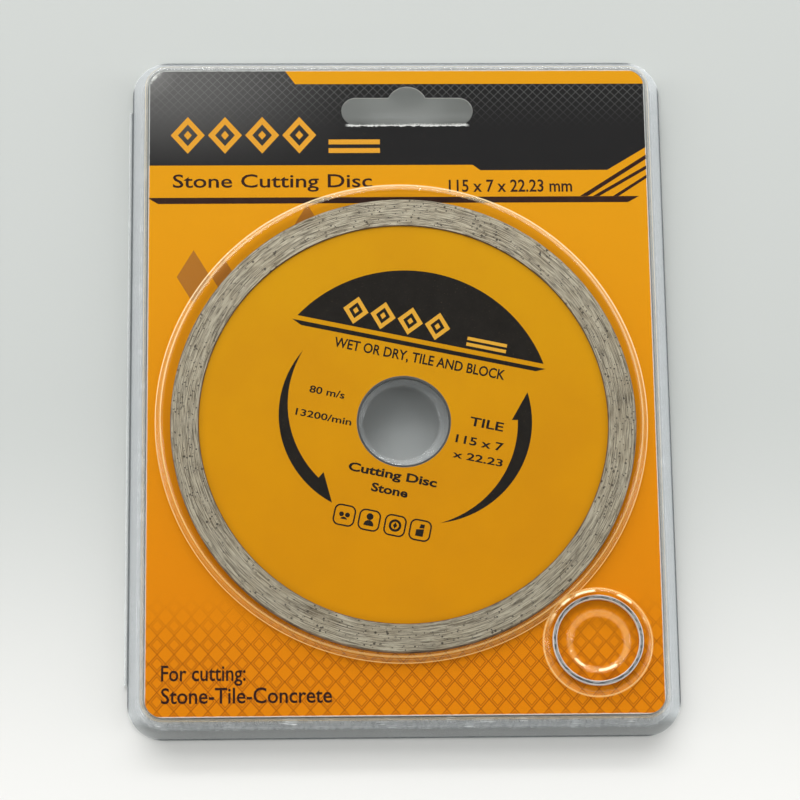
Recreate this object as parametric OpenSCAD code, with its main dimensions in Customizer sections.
// Continuous-rim diamond cutting blade and its reducing ring, in the clear hinged pack that they are sold in.
// Z = 0 is the middle of the steel core and the origin is the centre of its arbor bore.
// +Z points out of the labelled side and +Y towards the hanging slot.

/* [Blade] */
// Outer diameter of the blade
blade_d = 115; // [105:0.5:160]
// Diameter of the arbor bore
bore_d = 22.23; // [16:0.01:26]
// Height of the diamond rim, measured along the radius
rim_h = 7; // [5:0.5:12]
// Thickness of the diamond rim
rim_t = 2.2; // [1.8:0.1:3.2]
// Thickness of the steel core
core_t = 1.4; // [1:0.1:1.7]
// How deep the core's edge sits in the rim
tongue = 1; // [0.5:0.1:2]

/* [Reducing ring] */
// Width of the ring's face, from its bore to its outside
ring_wall = 1.1; // [0.8:0.1:3]
// Thickness of the ring along its axis
ring_t = 1.4; // [1:0.1:1.8]
// Play between the ring and the arbor bore, on the diameter
ring_play = 0.03; // [0.01:0.01:0.1]

/* [Card] */
// Card left and right of the blade bubble, from the bubble's foot
side_margin = 2.5; // [2:0.1:20]
// Card over the blade bubble, from the bubble's foot
head_margin = 31.3; // [27:0.1:60]
// Card under the blade bubble, from the bubble's foot
foot_margin = 13.1; // [12.5:0.1:40]
// Thickness of the card
card_t = 0.45; // [0.3:0.05:0.8]
// Corner radius of the card
card_r = 4.5; // [2:0.5:8]
// How far the round sight hole in the card stands outside the arbor bore
window_room = 2.885; // [2.5:0.005:6]

/* [Hanging slot] */
// Length of the slot
slot_w = 33.4; // [26:0.2:40]
// Height of the slot's straight bar
slot_h = 7.3; // [6:0.1:9]
// Width of the dome over the bar
dome_w = 9.4; // [7:0.2:12]
// Rise of the dome over the bar
dome_h = 3; // [2:0.1:4]
// Distance from the card's top edge to the middle of the bar
slot_drop = 11.1; // [10:0.1:16]
// How far the middle of the slot lies to the right of the card's middle
slot_off = 2.4; // [-10:0.1:10]

/* [Shells] */
// Thickness of the formed plastic sheet
sheet_t = 0.4; // [0.3:0.05:0.6]
// Distance from the front face of the card down to the underside of the pack
pack_depth = 7.4; // [6.6:0.1:12]
// Width of the flange beyond the foot of the wall
flange_w = 2.2; // [1.5:0.1:6]
// How far the top of the front wall stands outside the card's edge
wall_top = 1; // [0.9:0.1:3]
// How far the front wall spreads between its top and its foot
wall_draft = 1.3; // [0.6:0.1:3]
// Gap between the front wall and the rear wall inside it
wall_gap = 0.3; // [0.2:0.05:0.6]
// Gap between a piece and the sheet or card that it lies against
lay_gap = 0.1; // [0.05:0.05:0.2]

/* [Bubbles] */
// Radial room for the blade in its bubble, at the bubble's top
blade_room = 1.5; // [1.4:0.1:3]
// Room over the blade's rim
blade_head = 0.35; // [0.3:0.05:1]
// How far the bubble's side spreads on its way down to the face
bubble_draft = 1.1; // [0.5:0.1:2]
// Radial room for the reducing ring in its bubble, at the bubble's top
ring_room = 1; // [0.9:0.1:2]
// Room over the reducing ring
ring_head = 0.6; // [0.4:0.1:1.5]
// How far the ring bubble's side spreads
ring_draft = 0.6; // [0.3:0.1:1]
// Radial room between the pip's top and the reducing ring's bore
pip_room = 2.5; // [1.8:0.1:4]
// How far the pip's side runs in on its way down to its floor
pip_draft = 1.35; // [0.8:0.05:2]
// Radial room between the sight hole and the rear shell's cup, at the cup's mouth
cup_room = 1.5; // [1:0.1:3]
// How far the cup's side runs in on its way to its floor
cup_draft = 2.9; // [2:0.1:4]
// Depth of the cup
cup_depth = 4; // [3:0.1:5]

/* [Places] */
// Where the blade bubble's axis lies from the settled blade's axis, across
seat_x = -0.4; // [-0.5:0.1:0.5]
// Where the blade bubble's axis lies from the settled blade's axis, up
seat_y = 1; // [-1:0.1:1]
// Direction of the ring bubble from the blade bubble, turned down from the right
ring_angle = 50.1; // [48:0.1:54]
// How far the foot of the ring bubble runs into the foot of the blade bubble
bubble_overlap = 0.48; // [0.3:0.02:0.8]
// How far the loose ring has slid up in its bubble
ring_slid = 0.4; // [0:0.1:0.5]
// Radius of the living hinge between the two flanges
hinge_r = 0.4; // [0.3:0.05:0.6]

/* [Hidden] */
$fn = 96;
cut = 1;                                   // how far a cutting shape runs past what it cuts
seam_gap = 0.1;                            // between the two flanges
hinge_gap = 0.05;                          // between a flange and the hinge bead
rim_edge = 0.25;                           // bevel on the rim's edges
bubble_edge = 0.5;                         // rounding of a bubble's top edge
bevel_steps = 4;                           // straight pieces in a rounded edge

blade_r = blade_d / 2;
core_r = blade_r - rim_h;
ring_r = (bore_d - ring_play) / 2;

bubble_top_r = blade_r + blade_room + sheet_t;
bubble_foot_r = bubble_top_r + bubble_draft;
ring_bubble_r = ring_r + ring_room + sheet_t;
ring_bubble_foot_r = ring_bubble_r + ring_draft;

card_w = 2 * (bubble_foot_r + side_margin);
card_h = 2 * bubble_foot_r + head_margin + foot_margin;
card_x = seat_x;
card_y = seat_y + (head_margin - foot_margin) / 2;
card_z = -rim_t / 2 - lay_gap;             // front face of the card
card_back_z = card_z - card_t;
window_d = bore_d + 2 * window_room;
cup_d = window_d - 2 * cup_room;
cup_floor_d = cup_d - 2 * cup_draft;

face_low_z = card_z + lay_gap;             // underside of the front shell's face
face_z = face_low_z + sheet_t;
bubble_z = rim_t / 2 + blade_head + sheet_t;
foot_z = card_z - pack_depth;              // what the pack lies on
seam_z = foot_z + sheet_t + seam_gap / 2;
back_flange_z = seam_z - seam_gap / 2;
front_flange_low_z = seam_z + seam_gap / 2;
front_flange_z = front_flange_low_z + sheet_t;

wall_foot = wall_top + wall_draft;
flange_out = wall_foot + flange_w;
nest_step = sheet_t + wall_gap;            // from the front wall's outside to the rear wall's outside
hinge_x = card_x - card_w / 2 - flange_out - hinge_r - hinge_gap;

bubbles_apart = bubble_foot_r + ring_bubble_foot_r - bubble_overlap;
ring_x = seat_x + bubbles_apart * cos(ring_angle);
ring_pocket_y = seat_y - bubbles_apart * sin(ring_angle);
ring_y = ring_pocket_y + ring_slid;
ring_z = card_z + lay_gap;                 // underside of the reducing ring
ring_bubble_z = ring_z + ring_t + ring_head + sheet_t;
pip_d = 2 * (ring_r - ring_wall - pip_room);
pip_floor_d = pip_d - 2 * pip_draft;
pip_floor_z = face_low_z + lay_gap + sheet_t;

slot_x = card_x + slot_off;
slot_y = card_y + card_h / 2 - slot_drop;
dome_r = (dome_w * dome_w / 4 + dome_h * dome_h) / (2 * dome_h);

// A rectangle in the card's place, grown by "out" on every side, with round corners.
module card_shape(out) {
    w = card_w + 2 * out;
    h = card_h + 2 * out;
    r = card_r + out;
    translate([card_x, card_y]) {
        square([w - 2 * r, h], center = true);
        square([w, h - 2 * r], center = true);
        for (sx = [-1, 1], sy = [-1, 1])
            translate([sx * (w / 2 - r), sy * (h / 2 - r)]) circle(r);
    }
}

// A block with drafted sides on the card's outline, from "low" where it is widest to "high".
module drafted_block(low, high, out_low, out_high) {
    hull() {
        for (sx = [-1, 1], sy = [-1, 1]) {
            translate([card_x + sx * (card_w / 2 - card_r), card_y + sy * (card_h / 2 - card_r), low])
                cylinder(h = high - low, r1 = card_r + out_low, r2 = card_r + out_high, $fn = 48);
        }
    }
}

// The hanging slot: a bar with round ends and a dome over its middle.
module slot_shape() {
    translate([slot_x, slot_y]) {
        square([slot_w - slot_h, slot_h], center = true);
        for (side = [-1, 1]) translate([side * (slot_w - slot_h) / 2, 0]) circle(slot_h / 2);
        intersection() {
            translate([0, slot_h / 2 + dome_h - dome_r]) circle(dome_r);
            translate([-dome_w, 0]) square([2 * dome_w, slot_h / 2 + dome_h + cut]);
        }
    }
}

module slot_cut() {
    translate([0, 0, foot_z - cut]) linear_extrude(bubble_z - foot_z + 2 * cut) slot_shape();
}

// A round bubble on its own axis: "r" at its top edge, spreading by "draft" down to "low".
module bubble(r, draft, low, high) {
    slope = draft / (high - low);
    rotate_extrude() polygon([
        [0, low - cut],
        [r + draft + slope * cut, low - cut],
        [r + slope * bubble_edge, high - bubble_edge],
        for (i = [1 : bevel_steps])
            let (a = 90 * i / bevel_steps)
            [r - bubble_edge + bubble_edge * cos(a), high - bubble_edge + bubble_edge * sin(a)],
        [0, high]
    ]);
}

// Everything that the front shell wraps round, taken in by "inset". The shell is one of these less another.
module front_form(inset) {
    low = inset > 0 ? front_flange_low_z - cut : front_flange_low_z;
    slope = wall_draft / (face_z - front_flange_z);
    extra = slope * (front_flange_z - low);
    difference() {
        union() {
            drafted_block(low, face_z - inset, wall_foot + extra - inset, wall_top - inset);
            translate([seat_x, seat_y])
                bubble(bubble_top_r - inset, bubble_draft, face_z - inset, bubble_z - inset);
            translate([ring_x, ring_pocket_y])
                bubble(ring_bubble_r - inset, ring_draft, face_z - inset, ring_bubble_z - inset);
        }
        translate([ring_x, ring_pocket_y, pip_floor_z - inset])
            cylinder(h = ring_bubble_z - pip_floor_z, d1 = pip_floor_d + 2 * inset, d2 = pip_d + 2 * inset);
    }
}

// The same for the rear shell, which nests inside the front one and backs the card.
module back_form(inset) {
    low = inset > 0 ? foot_z - cut : foot_z;
    slope = wall_draft / (face_z - front_flange_z);
    high = card_back_z - inset;
    top_out = wall_top + slope * (face_z - card_back_z) - nest_step;
    difference() {
        drafted_block(low, high, top_out + slope * (card_back_z - low) - inset, top_out - inset);
        translate([seat_x, seat_y, card_back_z - cup_depth - inset])
            cylinder(h = cup_depth + cut, d1 = cup_floor_d + 2 * inset,
                     d2 = cup_d + 2 * inset + (cup_d - cup_floor_d) * cut / cup_depth);
    }
}

module flange(low) {
    translate([0, 0, low]) linear_extrude(sheet_t) card_shape(flange_out);
}

module blade_core() {
    color("goldenrod") difference() {
        translate([0, 0, -core_t / 2]) cylinder(h = core_t, r = core_r + tongue);
        translate([0, 0, -core_t / 2 - cut]) cylinder(h = core_t + 2 * cut, d = bore_d);
    }
}

module diamond_rim() {
    half = rim_t / 2;
    color("darkgray") rotate_extrude() polygon([
        [core_r + tongue, -core_t / 2],
        [core_r, -core_t / 2],
        [core_r, -half + rim_edge],
        [core_r + rim_edge, -half],
        [blade_r - rim_edge, -half],
        [blade_r, -half + rim_edge],
        [blade_r, half - rim_edge],
        [blade_r - rim_edge, half],
        [core_r + rim_edge, half],
        [core_r, half - rim_edge],
        [core_r, core_t / 2],
        [core_r + tongue, core_t / 2]
    ]);
}

module reducing_ring() {
    color("silver") translate([ring_x, ring_y, ring_z]) difference() {
        cylinder(h = ring_t, r = ring_r);
        translate([0, 0, -cut]) cylinder(h = ring_t + 2 * cut, r = ring_r - ring_wall);
    }
}

module card() {
    color("orange") difference() {
        translate([0, 0, card_back_z]) linear_extrude(card_t) card_shape(0);
        translate([seat_x, seat_y, card_back_z - cut]) cylinder(h = card_t + 2 * cut, d = window_d);
        slot_cut();
    }
}

module front_shell() {
    color([0.85, 0.9, 0.92, 0.35]) difference() {
        union() {
            front_form(0);
            flange(front_flange_low_z);
        }
        front_form(sheet_t);
        slot_cut();
    }
}

module back_shell() {
    color([0.8, 0.86, 0.88, 0.35]) difference() {
        union() {
            back_form(0);
            flange(foot_z);
        }
        back_form(sheet_t);
        slot_cut();
    }
}

module living_hinge() {
    length = card_h - 4 * card_r;
    color("lightgray") translate([hinge_x, card_y + length / 2, seam_z]) rotate([90, 0, 0])
        cylinder(h = length, r = hinge_r);
}

blade_core();
diamond_rim();
reducing_ring();
card();
front_shell();
back_shell();
living_hinge();
